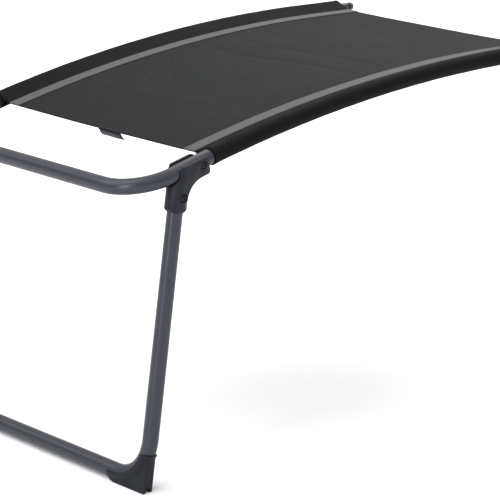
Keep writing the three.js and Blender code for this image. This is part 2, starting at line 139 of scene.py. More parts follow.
class Shader(Nodes):
    """A material's node tree round one Principled shader."""

    def __init__(self, name: str) -> None:
        """Starts an empty material."""
        self.material = bpy.data.materials.new(name)
        self.material.use_nodes = True
        super().__init__(self.material.node_tree)
        self.principled = self.tree.nodes["Principled BSDF"]

    def shade(self, **values: object) -> None:
        """Sets or links the shader's inputs; an underscore stands for a space."""
        for key, value in values.items():
            self.feed(self.principled.inputs[key.replace("_", " ")], value)

    def place(self, kind: str = "Object") -> NodeSocket:
        """The Object or UV coordinates."""
        return self.node("ShaderNodeTexCoord", {}).outputs[kind]

    def stretched(self, vector: NodeSocket, scale: Triple) -> NodeSocket:
        """The coordinates with each axis scaled."""
        return self.node("ShaderNodeMapping", {"Vector": vector, "Scale": scale}).outputs[0]

    def noise(self, vector: NodeSocket, scale: float, detail: float = 3) -> NodeSocket:
        """Soft noise from 0 to 1."""
        inputs = {"Vector": vector, "Scale": scale, "Detail": detail}
        return self.node("ShaderNodeTexNoise", inputs).outputs[0]

    def wave(self, value: NodeSocket, length: float) -> NodeSocket:
        """The sine of a length along the cloth that falls to 0 once in each of the given lengths."""
        return self.maths("SINE", self.maths("MULTIPLY", value, math.pi / length))

    def spread(self, value: Value, low: float, high: float, to_low: float, to_high: float) -> NodeSocket:
        """A value moved smoothly from one range to another, and held at its ends."""
        inputs = {"Value": value, 1: low, 2: high, 3: to_low, 4: to_high}
        made = self.node("ShaderNodeMapRange", inputs, interpolation_type="SMOOTHSTEP")
        return made.outputs[0]

    def blend(self, share: Value, first: object, second: object) -> NodeSocket:
        """Two colours mixed by a share."""
        made = self.node("ShaderNodeMix", {0: share, 6: first, 7: second}, data_type="RGBA")
        return made.outputs[2]

    def relief(self, height: NodeSocket, depth: float, strength: float = 1.0) -> NodeSocket:
        """A bumped normal from a height from 0 to 1 and its depth in metres."""
        inputs = {"Height": height, "Distance": depth, "Strength": strength}
        return self.node("ShaderNodeBump", inputs).outputs[0]


@dataclass(frozen=True)
class DrawnTube:
    """Satin anthracite tube, with faint drawing lines along its length."""

    base: Colour = (0.039, 0.041, 0.051)
    lines_per_metre: float = 900.0
    line_stretch: float = 0.012

    def make(self) -> Material:
        """Builds the material."""
        s = Shader("drawn_tube")
        along = s.stretched(s.place("UV"), (1.0, self.line_stretch, 1.0))
        lines = s.noise(along, self.lines_per_metre, 4)
        clouds = s.noise(s.place(), 14, 3)
        specks = s.noise(s.place(), 900, 2)
        tint = s.weigh(lines, 0.35, clouds, 0.65)
        light = dimmed(self.base, 1.16)
        dark = dimmed(self.base, 0.86)
        s.shade(
            Base_Color=s.blend(tint, dark, light),
            Metallic=0.5,
            Roughness=s.spread(tint, 0.2, 0.8, 0.27, 0.36),
            Normal=s.relief(s.maths("ADD", lines, s.maths("MULTIPLY", specks, 0.5)), 0.03 * MM, 0.5),
            Specular_IOR_Level=0.4,
        )
        return s.material


@dataclass(frozen=True)
class MouldedNylon:
    """Dark glass-filled nylon with a spark-eroded grain; its convex edges are painted paler, a painted
    highlight mixed with rubbing wear.
    """

    base: Colour = (0.0058, 0.0070, 0.0112)
    grain: float = 1500.0

    def make(self) -> Material:
        """Builds the material."""
        s = Shader("moulded_nylon")
        grain = s.noise(s.place(), self.grain, 4)
        clouds = s.noise(s.place(), 45, 3)
        edge = s.spread(s.node("ShaderNodeNewGeometry", {}).outputs["Pointiness"], 0.51, 0.6, 0, 1)
        # Painted highlight: convex edges are lightened in patches, mixed with rubbing wear, and made less
        # rough.
        edge_highlight_and_wear = s.maths("MULTIPLY", edge, s.spread(clouds, 0.35, 0.65, 0.15, 0.7))
        highlight_and_wear_colour = dimmed(self.base, 1.9)
        dark = dimmed(self.base, 0.85)
        light = dimmed(self.base, 1.15)
        s.shade(
            Base_Color=s.blend(edge_highlight_and_wear, s.blend(clouds, dark, light), highlight_and_wear_colour),
            Roughness=s.spread(s.maths("ADD", grain, edge_highlight_and_wear), 0.3, 1.3, 0.58, 0.4),
            Normal=s.relief(grain, 0.08 * MM, 0.6),
            Specular_IOR_Level=0.24,
        )
        return s.material


@dataclass(frozen=True)
class CoatedMesh:
    """Coated polyester mesh: pairs of warp threads over and under single weft threads, with small holes; the
    holes and the hollows between threads are painted with near-black shade.
    """

    name: str
    warp: Colour
    weft: Colour
    # Near-black: the painted shade in the holes and in the hollows between threads, and the dark of the
    # random mottling.
    hole: Colour = (0.001, 0.001, 0.001)
    pair: float = 3.25 * MM
    pick: float = 1.52 * MM
    relief_depth: float = 0.45 * MM

    def make(self) -> Material:
        """Builds the material."""
        s = Shader(self.name)
        flat = s.place("UV")
        split = s.node("ShaderNodeSeparateXYZ", {0: flat})
        across = s.wave(split.outputs[0], self.pair)
        along = s.wave(split.outputs[1], self.pick)
        warp = s.maths("ABSOLUTE", s.wave(split.outputs[0], self.pair / 2))
        weft = s.maths("ABSOLUTE", along)
        over = s.spread(s.maths("MULTIPLY", across, along), -0.25, 0.25, 0, 1)
        warp_up = s.maths("MULTIPLY", warp, s.spread(over, 0, 1, 0.35, 1))
        weft_up = s.maths("MULTIPLY", weft, s.spread(over, 0, 1, 1, 0.35))
        height = s.maths("SMOOTH_MAX", warp_up, weft_up, 0.12)
        # Painted shade: the holes between the threads are filled with the near-black colour.
        hole_shade_mask = s.spread(s.maths("MAXIMUM", warp, weft), 0.3, 0.62, 1, 0)
        slubs = s.noise(s.stretched(flat, (1.0, 0.08, 1.0)), 500, 3)
        clouds = s.noise(flat, 9, 4)
        tone = s.weigh(slubs, 0.6, clouds, 0.4)
        thread = s.blend(over, self.weft, self.warp)
        mottled = s.blend(s.spread(tone, 0.3, 0.7, 0.3, 0), thread, self.hole)
        # Painted shade: the low parts of the weave are darkened towards the near-black colour.
        shaded = s.blend(s.spread(height, 0.3, 0.95, 0.6, 0), mottled, self.hole)
        s.shade(
            Base_Color=s.blend(hole_shade_mask, shaded, self.hole),
            Roughness=s.spread(tone, 0.3, 0.7, 0.62, 0.78),
            Normal=s.relief(height, self.relief_depth, 0.7),
            Specular_IOR_Level=0.07,
        )
        return s.material


@dataclass(frozen=True)
class WovenTape:
    """Flat grey tape with ribs across it and a denser edge; its colour is painted darker in the grooves and
    lighter on the raised ribs, as painted shade and light.
    """

    yarn: Colour = (0.069, 0.067, 0.071)
    rib: float = 1.3 * MM
    warp_pitch: float = 0.8 * MM
    half_width: float = 11 * MM

    def make(self) -> Material:
        """Builds the material."""
        s = Shader("woven_tape")
        flat = s.place("UV")
        split = s.node("ShaderNodeSeparateXYZ", {0: flat})
        ribs = s.maths("ABSOLUTE", s.wave(split.outputs[1], self.rib))
        warps = s.maths("ABSOLUTE", s.wave(split.outputs[0], self.warp_pitch))
        height = s.weigh(ribs, 0.65, warps, 0.35)
        fuzz = s.noise(flat, 700, 3)
        from_middle = s.maths("ABSOLUTE", split.outputs[0])
        selvedge = s.spread(from_middle, self.half_width - 1.6 * MM, self.half_width - 0.8 * MM, 0, 0.35)
        dark = dimmed(self.yarn, 0.6)
        light = dimmed(self.yarn, 1.2)
        # Painted shade and light: the colour follows the ribs' height, mixed with random fuzz tone.
        tone = s.weigh(height, 0.6, fuzz, 0.4)
        s.shade(
            Base_Color=s.blend(selvedge, s.blend(s.spread(tone, 0.2, 0.9, 0, 1), dark, light), dark),
            Roughness=s.spread(fuzz, 0.3, 0.7, 0.6, 0.75),
            Normal=s.relief(height, 0.15 * MM, 0.7),
            Sheen_Weight=0.05,
            Sheen_Roughness=0.4,
            Specular_IOR_Level=0.25,
        )
        return s.material


@dataclass(frozen=True)
class SewingThread:
    """Twisted polyester thread, painted lighter on the crests of its twist and darker in the grooves, as
    painted light and shade.
    """

    colour: Colour = (0.045, 0.045, 0.047)

    def make(self) -> Material:
        """Builds the material."""
        s = Shader("sewing_thread")
        place = s.place()
        twist = s.node("ShaderNodeTexWave", {"Vector": place, "Scale": 700, "Distortion": 1.0})
        fibres = s.noise(place, 2500, 2)
        # Painted light and shade: the colour follows the twist's height, broken up by fibre noise.
        tone = s.maths("MULTIPLY", twist.outputs[1], fibres)
        dark = dimmed(self.colour, 0.7)
        light = dimmed(self.colour, 1.3)
        s.shade(
            Base_Color=s.blend(tone, dark, light),
            Roughness=s.spread(fibres, 0.3, 0.7, 0.5, 0.65),
            Normal=s.relief(twist.outputs[1], 0.05 * MM, 0.6),
            Sheen_Weight=0.2,
        )
        return s.material


@dataclass(frozen=True)
class WovenLabel:
    """Dark satin label with a plain woven ring and three bars in pale thread; its fine weave is painted
    lighter on the crests and darker in the hollows, as painted light and shade.
    """

    ground: Colour = (0.004, 0.005, 0.009)
    thread: Colour = (0.075, 0.095, 0.13)
    ring_centre: Pair = (8.5 * MM, 6.5 * MM)
    ring_radius: float = 3.3 * MM
    bar_start: float = 15 * MM
    bars: tuple[Pair, ...] = ((33 * MM, 8.4 * MM), (39 * MM, 6.2 * MM), (28 * MM, 4.0 * MM))
    bar_fade: float = 0.5 * MM

    def make(self) -> Material:
        """Builds the material."""
        s = Shader("woven_label")
        flat = s.place("UV")
        split = s.node("ShaderNodeSeparateXYZ", {0: flat})
        x, y = split.outputs[0], split.outputs[1]
        dx = s.maths("SUBTRACT", x, self.ring_centre[0])
        dy = s.maths("SUBTRACT", y, self.ring_centre[1])
        far = s.maths("SQRT", s.maths("ADD", s.maths("POWER", dx, 2.0), s.maths("POWER", dy, 2.0)))
        off_ring = s.maths("ABSOLUTE", s.maths("SUBTRACT", far, self.ring_radius))
        mark = s.spread(off_ring, 0.4 * MM, 0.8 * MM, 1, 0)
        begun = s.spread(x, self.bar_start, self.bar_start + self.bar_fade, 0, 1)
        for end, level in self.bars:
            inside = s.maths("MULTIPLY", begun, s.spread(x, end - self.bar_fade, end, 1, 0))
            off_bar = s.maths("ABSOLUTE", s.maths("SUBTRACT", y, level))
            bar = s.maths("MULTIPLY", inside, s.spread(off_bar, 0.35 * MM, 0.7 * MM, 1, 0))
            mark = s.maths("MAXIMUM", mark, bar)
        weave = s.wave(s.maths("ADD", x, y), 0.25 * MM)
        raised = s.maths("ADD", s.maths("MULTIPLY", weave, 0.3), mark)
        # Painted light and shade: the fine weave is lighter on its crests and darker in its hollows.
        light = dimmed(self.ground, 1.6)
        s.shade(
            Base_Color=s.blend(mark, s.blend(s.spread(weave, -1, 1, 0, 1), self.ground, light), self.thread),
            Roughness=s.spread(weave, -1, 1, 0.5, 0.65),
            Normal=s.relief(raised, 0.1 * MM, 0.6),
            Specular_IOR_Level=0.15,
        )
        return s.material


@dataclass(frozen=True)
class TurnedMetal:
    """Bare metal with fine turning marks round an axis, or plating without them."""

    name: str
    base: Colour
    roughness: Pair
    marks: float = 1400.0

    def make(self) -> Material:
        """Builds the material."""
        s = Shader(self.name)
        place = s.place()
        marks = s.noise(s.stretched(place, (0.1, 1.0, 0.1)), self.marks, 3)
        stains = s.noise(place, 160, 4)
        dark = dimmed(self.base, 0.7)
        s.shade(
            Base_Color=s.blend(s.spread(stains, 0.35, 0.7, 0, 1), dark, self.base),
            Metallic=1.0,
            Roughness=s.spread(stains, 0.3, 0.7, *self.roughness),
            Normal=s.relief(marks, 0.02 * MM, 0.5),
        )
        return s.material


@dataclass(frozen=True)
class StudioFloor:
    """Plain pale floor."""

    base: Colour = (0.93, 0.93, 0.93)

    def make(self) -> Material:
        """Builds the material."""
        s = Shader("studio_floor")
        clouds = s.noise(s.place(), 3, 2)
        dark = dimmed(self.base, 0.99)
        s.shade(Base_Color=s.blend(clouds, dark, self.base), Roughness=0.9, Specular_IOR_Level=0.1)
        return s.material


class Finishes:
    """Every finish of the rest, made once."""

    def __init__(self) -> None:
        """Builds the materials."""
        self.tube = DrawnTube().make()
        self.nylon = MouldedNylon().make()
        self.panel = CoatedMesh("panel_mesh", (0.044, 0.047, 0.049), (0.0025, 0.0027, 0.0030)).make()
        self.sleeve = CoatedMesh("sleeve_mesh", (0.0150, 0.0149, 0.0161), (0.0008, 0.0008, 0.0009)).make()
        self.tape = WovenTape().make()
        self.thread = SewingThread().make()
        self.label = WovenLabel().make()
        self.peg = TurnedMetal("turned_peg", (0.085, 0.086, 0.095), (0.3, 0.45)).make()
        self.plated = TurnedMetal("blackened_steel", (0.032, 0.032, 0.036), (0.22, 0.36), 3000.0).make()
        self.floor = StudioFloor().make()


# ---- Mesh building ----


@dataclass(frozen=True)
class Station:
    """A place on a path, with the two axes that its cross-section is drawn in."""

    centre: Vector
    across: Vector
    up: Vector
    along: float

    def at(self, x: float, y: float) -> Vector:
        """The point of the cross-section at x across and y up."""
        return self.centre + self.across * x + self.up * y


class Skin:
    """Points, faces and flat coordinates of one mesh while it is being built."""

    def __init__(self) -> None:
        """Starts empty."""
        self.points: list[Vector] = []
        self.faces: list[tuple[int, ...]] = []
        self.flats: list[tuple[Pair, ...]] = []

    def rows(self, rows: Sequence[Sequence[Vector]]) -> list[list[int]]:
        """Adds rows of points, and returns their numbers."""
        numbers = []
        for row in rows:
            start = len(self.points)
            self.points.extend(row)
            numbers.append(list(range(start, start + len(row))))
        return numbers

    def bridge(self, numbers: Sequence[Sequence[int]], us: Sequence[float], vs: Sequence[float],
               wrap: bool = False, flip: bool = False) -> None:
        """Joins rows of points with four-sided faces.

        Args:
            numbers: The rows' point numbers.
            us: The flat coordinate of each column, with one more where the rows wrap.
            vs: The flat coordinate of each row.
            wrap: Whether each row closes on itself.
            flip: Whether the faces point the other way.
        """
        columns = len(numbers[0])
        last = columns if wrap else columns - 1
        for i in range(len(numbers) - 1):
            for j in range(last):
                k = (j + 1) % columns
                face = (numbers[i][j], numbers[i][k], numbers[i + 1][k], numbers[i + 1][j])
                flat = ((us[j], vs[i]), (us[j + 1], vs[i]), (us[j + 1], vs[i + 1]), (us[j], vs[i + 1]))
                self.faces.append(face[::-1] if flip else face)
                self.flats.append(flat[::-1] if flip else flat)

    def cap(self, ring: Sequence[int]) -> None:
        """Closes a ring of points with one face."""
        self.faces.append(tuple(ring))
        self.flats.append(tuple((self.points[n].x, self.points[n].y) for n in ring))

    def mesh(self, name: str, sharp: float = 35.0, recalculate: bool = True) -> Mesh:
        """Makes the mesh.

        Args:
            name: The mesh's name.
            sharp: Edges that bend more than this many degrees stay sharp.
            recalculate: Whether the closed shell's faces are turned outwards.

        Returns:
            The smooth-shaded mesh with its flat coordinates as a UV map.
        """
        made = bpy.data.meshes.new(name)
        made.from_pydata([tuple(p) for p in self.points], [], self.faces)
        layer = made.uv_layers.new(name="flat")
        corners = [pair for flat in self.flats for pair in flat]
        layer.data.foreach_set("uv", [value for pair in corners for value in pair])
        if recalculate:
            turn_outwards(made)
        made.shade_smooth()
        made.set_sharp_from_angle(angle=math.radians(sharp))
        made.update()
        return made


def turn_outwards(mesh: Mesh) -> None:
    """Turns the faces of a closed shell outwards."""
    work = bmesh.new()
    work.from_mesh(mesh)
    bmesh.ops.recalc_face_normals(work, faces=work.faces)
    work.to_mesh(mesh)
    work.free()


def link(name: str, mesh: Mesh, finish: Material) -> Object:
    """Puts a mesh in the scene as an object with one finish."""
    made = bpy.data.objects.new(name, mesh)
    bpy.context.scene.collection.objects.link(made)
    mesh.materials.clear()
    mesh.materials.append(finish)
    return made


def settle(piece: Object, body: Body, slot: str, *nodes: str) -> Object:
    """Rides a piece on its body and hides the CAD nodes that it stands for.

    Args:
        piece: The finished object.
        body: The body it moves with.
        slot: Not used.
        nodes: The CAD nodes it replaces.

    Returns:
        The same object.
    """
    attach(piece, body.value)
    if nodes:
        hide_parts(*nodes)
    log.info("%s rides on %s, %d faces", piece.name, body.value, len(piece.data.polygons))
    return piece


def evenly(start: float, span: float, steps: int) -> list[float]:
    """Evenly spaced values from a start over a span."""
    return [start + span * i / steps for i in range(steps + 1)]


def circle(radius: float, sides: int) -> list[Pair]:
    """Points of a circle round the origin."""
    turn = 2 * math.pi / sides
    return [(radius * math.cos(turn * i), radius * math.sin(turn * i)) for i in range(sides)]


def tube_mesh(name: str, path: Sequence[Station]) -> Mesh:
    """A hollow tube along a path, with open ends, as one closed shell."""
    skin = Skin()
    outside = skin.rows([[s.at(x, y) for x, y in circle(TUBE_RADIUS, TUBE_SIDES)] for s in path])
    inside = skin.rows([[s.at(x, y) for x, y in circle(TUBE_BORE, TUBE_SIDES)] for s in path])
    us = evenly(0, 2 * math.pi * TUBE_RADIUS, TUBE_SIDES)
    vs = [s.along for s in path]
    skin.bridge(outside, us, vs, wrap=True)
    skin.bridge(inside, us, vs, wrap=True, flip=True)
    for end in (0, -1):
        rim = [vs[end], vs[end] + TUBE_RADIUS - TUBE_BORE]
        skin.bridge([outside[end], inside[end]], us, rim, wrap=True, flip=end == 0)
    return skin.mesh(name)


def lathe_mesh(name: str, profile: Sequence[Pair], sides: int,
               shape: Callable[[float, float], float] | None = None) -> Mesh:
    """A turned solid round Z.

    Args:
        name: The mesh's name.
        profile: Radius and height, from one pole or rim to the other.
        sides: How many sides it has.
        shape: Changes a radius by its angle, for a ring marked with a negative radius.

    Returns:
        The mesh, closed with a face at each end, or through the middle where the ends meet.
    """
    skin = Skin()
    rings = []
    for radius, height in profile:
        ring = []
        for i in range(sides):
            angle = 2 * math.pi * i / sides
            size = shape(-radius, angle) if radius < 0 and shape else radius
            ring.append(Vector((size * math.cos(angle), size * math.sin(angle), height)))
        rings.append(ring)
    open_middle = profile[0] == profile[-1]
    numbers = skin.rows(rings[:-1] if open_middle else rings)
    if open_middle:
        numbers.append(numbers[0])
    else:
        skin.cap(numbers[0][::-1])
        skin.cap(numbers[-1])
    us = evenly(0, 2 * math.pi * abs(profile[0][0]), sides)
    skin.bridge(numbers, us, [0.002 * i for i in range(len(numbers))], wrap=True)
    return skin.mesh(name, sharp=40)


def sheet_mesh(name: str, rows: Sequence[Sequence[Vector]], us: Sequence[float],
               vs: Sequence[float]) -> Mesh:
    """An open sheet from rows of points."""
    skin = Skin()
    skin.bridge(skin.rows(rows), us, vs)
    return skin.mesh(name, sharp=60, recalculate=False)


def thicken(piece: Object, thickness: float) -> None:
    """Gives an open sheet its thickness, half to each side, and makes the result its mesh."""
    solid = piece.modifiers.new("thickness", "SOLIDIFY")
    solid.thickness = thickness
    solid.offset = 0.0
    solid.use_even_offset = True
    bake_modifiers(piece)


def bake_modifiers(piece: Object) -> None:
    """Makes the modifiers' result the piece's plain mesh."""
    graph = bpy.context.evaluated_depsgraph_get()
    done = bpy.data.meshes.new_from_object(piece.evaluated_get(graph))
    piece.modifiers.clear()
    piece.data = done


# ---- Repeated details by geometry nodes ----


class Recipe(Nodes):
    """A geometry node tree with named inputs."""

    def __init__(self, name: str, *inputs: str) -> None:
        """Starts a tree with a geometry in, a geometry out and the named float inputs."""
        super().__init__(bpy.data.node_groups.new(name, "GeometryNodeTree"))
        face = self.tree.interface
        face.new_socket("Geometry", in_out="INPUT", socket_type="NodeSocketGeometry")
        self.keys: dict[str, str] = {}
        for key in inputs:
            socket = face.new_socket(key, in_out="INPUT", socket_type="NodeSocketFloat")
            self.keys[key] = socket.identifier
        face.new_socket("Geometry", in_out="OUTPUT", socket_type="NodeSocketGeometry")
        self.inputs = self.node("NodeGroupInput", {}).outputs
        self.outputs = self.node("NodeGroupOutput", {}).inputs

    def finish(self, instances: NodeSocket, material: Material) -> None:
        """Realizes the instances, gives them their material and ends the tree."""
        real = self.node("GeometryNodeRealizeInstances", {0: instances})
        dressed = self.node("GeometryNodeSetMaterial", {0: real.outputs[0], "Material": material})
        self.feed(self.outputs[0], dressed.outputs[0])

    def scatter(self, points: NodeSocket, pattern: NodeSocket, turned: NodeSocket,
                size: NodeSocket | Triple) -> NodeSocket:
        """The pattern placed on every point, turned and scaled."""
        inputs = {"Points": points, "Instance": pattern, "Rotation": turned, "Scale": size}
        return self.node("GeometryNodeInstanceOnPoints", inputs).outputs[0]

    def apply(self, piece: Object, **values: float) -> None:
        """Runs the tree on an object and keeps the result as its plain mesh."""
        modifier = piece.modifiers.new("recipe", "NODES")
        modifier.node_group = self.tree
        for key, value in values.items():
            modifier[self.keys[key]] = value
        bake_modifiers(piece)


def stitch_recipe(thread: Material) -> Recipe:
    """Stitches along lines of edges: one small bead of thread at each pitch, turned along the line."""
    recipe = Recipe("stitches", "Pitch", "Length", "Thickness")
    source = recipe.inputs
    curve = recipe.node("GeometryNodeMeshToCurve", {0: source["Geometry"]})
    spacing = {"Curve": curve.outputs[0], "Length": source["Pitch"]}
    marks = recipe.node("GeometryNodeResampleCurve", spacing, mode="LENGTH")
    bead = recipe.node("GeometryNodeMeshUVSphere", {"Segments": 6, "Rings": 5, "Radius": 1.0})
    smooth = recipe.node("GeometryNodeSetShadeSmooth", {0: bead.outputs[0]})
    tangent = recipe.node("GeometryNodeInputTangent", {})
    turned = recipe.node("FunctionNodeAlignRotationToVector", {"Vector": tangent.outputs[0]}, axis="X")
    jitter = recipe.node("FunctionNodeRandomValue", {2: 0.88, 3: 1.1, "Seed": 7}, data_type="FLOAT")
    length = recipe.maths("MULTIPLY", source["Length"], jitter.outputs[1])
    size = recipe.node("ShaderNodeCombineXYZ", {0: length, 1: source["Thickness"], 2: source["Thickness"]})
    placed = recipe.scatter(marks.outputs[0], smooth.outputs[0], turned.outputs[0], size.outputs[0])
    recipe.finish(placed, thread)
    return recipe


def fastener_recipe(name: str, pattern: Object, material: Material) -> Recipe:
    """A fastener at every point, its own +Z turned along the point's stored facing."""
    recipe = Recipe(name)
    info = recipe.node("GeometryNodeObjectInfo", {"Object": pattern, "As Instance": True})
    facing = recipe.node("GeometryNodeInputNamedAttribute", {"Name": "facing"}, data_type="FLOAT_VECTOR")
    turned = recipe.node("FunctionNodeAlignRotationToVector", {"Vector": facing.outputs[0]}, axis="Z")
    points = recipe.inputs["Geometry"]
    placed = recipe.scatter(points, info.outputs["Geometry"], turned.outputs[0], (1.0, 1.0, 1.0))
    recipe.finish(placed, material)
    return recipe


def line_object(name: str, lines: Sequence[Sequence[Vector]], finish: Material) -> Object:
    """An object of open lines of edges, for a recipe to work along."""
    points: list[Vector] = []
    edges: list[tuple[int, int]] = []
    for one in lines:
        start = len(points)
        points.extend(one)
        edges.extend((start + i, start + i + 1) for i in range(len(one) - 1))
    made = bpy.data.meshes.new(name)
    made.from_pydata([tuple(p) for p in points], edges, [])
    return link(name, made, finish)


def point_object(name: str, places: Sequence[tuple[Vector, Vector]], finish: Material) -> Object:
    """An object of loose points, each with the direction that its fastener faces."""
    made = bpy.data.meshes.new(name)
    made.from_pydata([tuple(p) for p, _ in places], [], [])
    facing = made.attributes.new("facing", "FLOAT_VECTOR", "POINT")
    facing.data.foreach_set("vector", [value for _, way in places for value in way])
    return link(name, made, finish)


# ---- Fixed frame ----


@dataclass(frozen=True)
class RailLine:
    """The axis of the two side rails: a shallow arch, then a short straight end. Lengths in metres."""

    bend_radius: float = 65.5 * MM
    pitch: float = math.radians(12.4)
    arch_radius: float = 2680 * MM
    arch_length: float = 690 * MM
    length: float = 776 * MM
    bar_y: float = -430.66 * MM
    bar_z: float = 417.2 * MM

    def side_view(self, s: float) -> Triple:
        """The axis's y and z and its slope, a distance s behind the corner."""
        bowed = min(max(s, 0.0), self.arch_length)
        slope = self.pitch - bowed / self.arch_radius
        straight = s - bowed
        y = self.arch_radius * (math.sin(self.pitch) - math.sin(slope)) + straight * math.cos(slope)
        z = self.arch_radius * (math.cos(slope) - math.cos(self.pitch)) + straight * math.sin(slope)
        y += self.bar_y + self.bend_radius * math.cos(self.pitch)
        z += self.bar_z + self.bend_radius * math.sin(self.pitch)
        return y, z, slope

    def station(self, s: float, x: float, along: float = 0.0) -> Station:
        """A station over the rail's axis at x, with its section's axes across and up."""
        y, z, slope = self.side_view(s)
        up = Vector((0, -math.sin(slope), math.cos(slope)))
        return Station(Vector((x, y, z)), Vector((1, 0, 0)), up, along)

    def stations(self, start: float, end: float, steps: int, x: float) -> list[Station]:
        """Evenly spaced stations from start to end."""
        return [self.station(s, x, s) for s in evenly(start, end - start, steps)]


def bent_path(corner: Vector, turn: Matrix, bend_radius: float, steps: int) -> list[tuple[Vector, Vector]]:
    """Points and headings of the right half of a U's bar and bend.

    Args:
        corner: The middle of the bar's axis.
        turn: Turns the flat U, x across and y along its arms, into place.
        bend_radius: The bend's radius at the axis.
        steps: How many steps the bend has.

    Returns:
        A point and a heading at the bar's middle and at each step of the bend.
    """
    flat = [(0.0, 0.0, 0.0)]
    for angle in evenly(0, math.pi / 2, steps):
        x = HALF_SPACING - bend_radius + bend_radius * math.sin(angle)
        flat.append((x, bend_radius * (1 - math.cos(angle)), angle))
    path = []
    for x, y, heading in flat:
        way = Vector((math.cos(heading), math.sin(heading), 0))
        path.append((corner + turn @ Vector((x, y, 0)), turn @ way))
    return path


def u_path(right: Sequence[tuple[Vector, Vector]], normal: Callable[[int], Vector]) -> list[Station]:
    """Stations of a whole U from its right half, given as points and headings.

    Args:
        right: Points and headings from the middle of the bar to the right end.
        normal: Gives the up axis of the section at a point's number.

    Returns:
        Stations from the left end to the right end.
    """
    half = [(p, d, normal(i)) for i, (p, d) in enumerate(right)]
    flip = Matrix.Diagonal((-1, 1, 1))
    left = [(flip @ p, -(flip @ d), flip @ up) for p, d, up in reversed(half[1:])]
    stations = []
    along = 0.0
    before = None
    for p, d, up in [*left, *half]:
        along += (p - before).length if before is not None else 0.0
        before = p
        stations.append(Station(p, d.cross(up).normalized(), up.normalized(), along))
    return stations


@dataclass
class UpperFrame:
    """The bent upper tube, its pegs and the bushes that hold them."""

    finishes: Finishes
    rail: RailLine
    bend_steps: int = 20
    rail_steps: int = 44
    peg_radius: float = 6.7 * MM
    peg_groove_radius: float = 5 * MM
    peg_out: float = 37 * MM
    peg_in: float = 40 * MM
    peg_head: float = 7.5 * MM
    peg_groove: float = 3.5 * MM
    bush_in: float = 30 * MM
    turned_sides: int = 40

    def build(self) -> list[Object]:
        """Builds the tube, pegs and bushes."""
        return [self.tube(), *[piece for side in Side for piece in self.rail_end(side)]]

    def tube(self) -> Object:
        """The bent tube: front bar, two corners and two arched rails."""
        rail = self.rail
        tilt = Matrix.Rotation(rail.pitch, 3, "X")
        path = bent_path(Vector((0, rail.bar_y, rail.bar_z)), tilt, rail.bend_radius, self.bend_steps)
        ups = [tilt @ Vector((0, 0, 1))] * len(path)
        for station in rail.stations(0, rail.length, self.rail_steps, HALF_SPACING)[1:]:
            path.append((station.centre, station.up.cross(station.across)))
            ups.append(station.up)
        mesh = tube_mesh("upper_tube", u_path(path, lambda i: ups[i]))
        piece = link("upper_tube", mesh, self.finishes.tube)
        return settle(piece, Body.REST, "tube_metal", "upper_frame_tube")

    def rail_end(self, side: Side) -> list[Object]:
        """The peg and the bush at one rail's chair end."""
        y, z, slope = self.rail.side_view(self.rail.length)
        place = Matrix.Translation((side.value * HALF_SPACING, y, z))
        place = place @ Matrix.Rotation(slope - math.pi / 2, 4, "X")
        tip = self.peg_out
        groove_end = tip - self.peg_head
        groove = groove_end - self.peg_groove
        edge = 0.35 * MM
        radius = self.peg_radius
        peg = lathe_mesh("peg", [
            (0.2 * MM, -self.peg_in),
            (radius - edge, -self.peg_in),
            (radius, -self.peg_in + edge),
            (radius, groove - edge),
            (radius - edge, groove),
            (self.peg_groove_radius, groove),
            (self.peg_groove_radius, groove_end),
            (radius - edge, groove_end),
            (radius, groove_end + edge),
            (radius, tip - 1.2 * MM),
            (radius - 0.4 * MM, tip - 0.4 * MM),
            (radius - 1.2 * MM, tip),
            (1.3 * MM, tip),
            (0.9 * MM, tip - 0.6 * MM),
            (0.05 * MM, tip - 0.9 * MM),
        ], self.turned_sides)
        clearance = 0.3 * MM
        inside = TUBE_BORE - clearance
        collar = TUBE_RADIUS - 0.8 * MM
        bore = radius + clearance
        bush = lathe_mesh("bush", [
            (bore, -self.bush_in),
            (inside, -self.bush_in),
            (inside, clearance),
            (collar, clearance),
            (collar, 2.0 * MM),
            (collar - 0.5 * MM, 2.5 * MM),
            (bore + 0.3 * MM, 2.5 * MM),
            (bore, 2.2 * MM),
            (bore, -self.bush_in),
        ], self.turned_sides)
        for mesh in (peg, bush):
            mesh.transform(place)
        peg_piece = link(f"chair_peg_{side.suffix}", peg, self.finishes.peg)
        bush_piece = link(f"end_bush_{side.suffix}", bush, self.finishes.nylon)
        settle(peg_piece, Body.REST, "peg_metal", f"rail_peg_{side.suffix}")
        settle(bush_piece, Body.REST, "nylon", f"rail_end_bush_{side.suffix}")
        return [peg_piece, bush_piece]


# ---- Sling ----


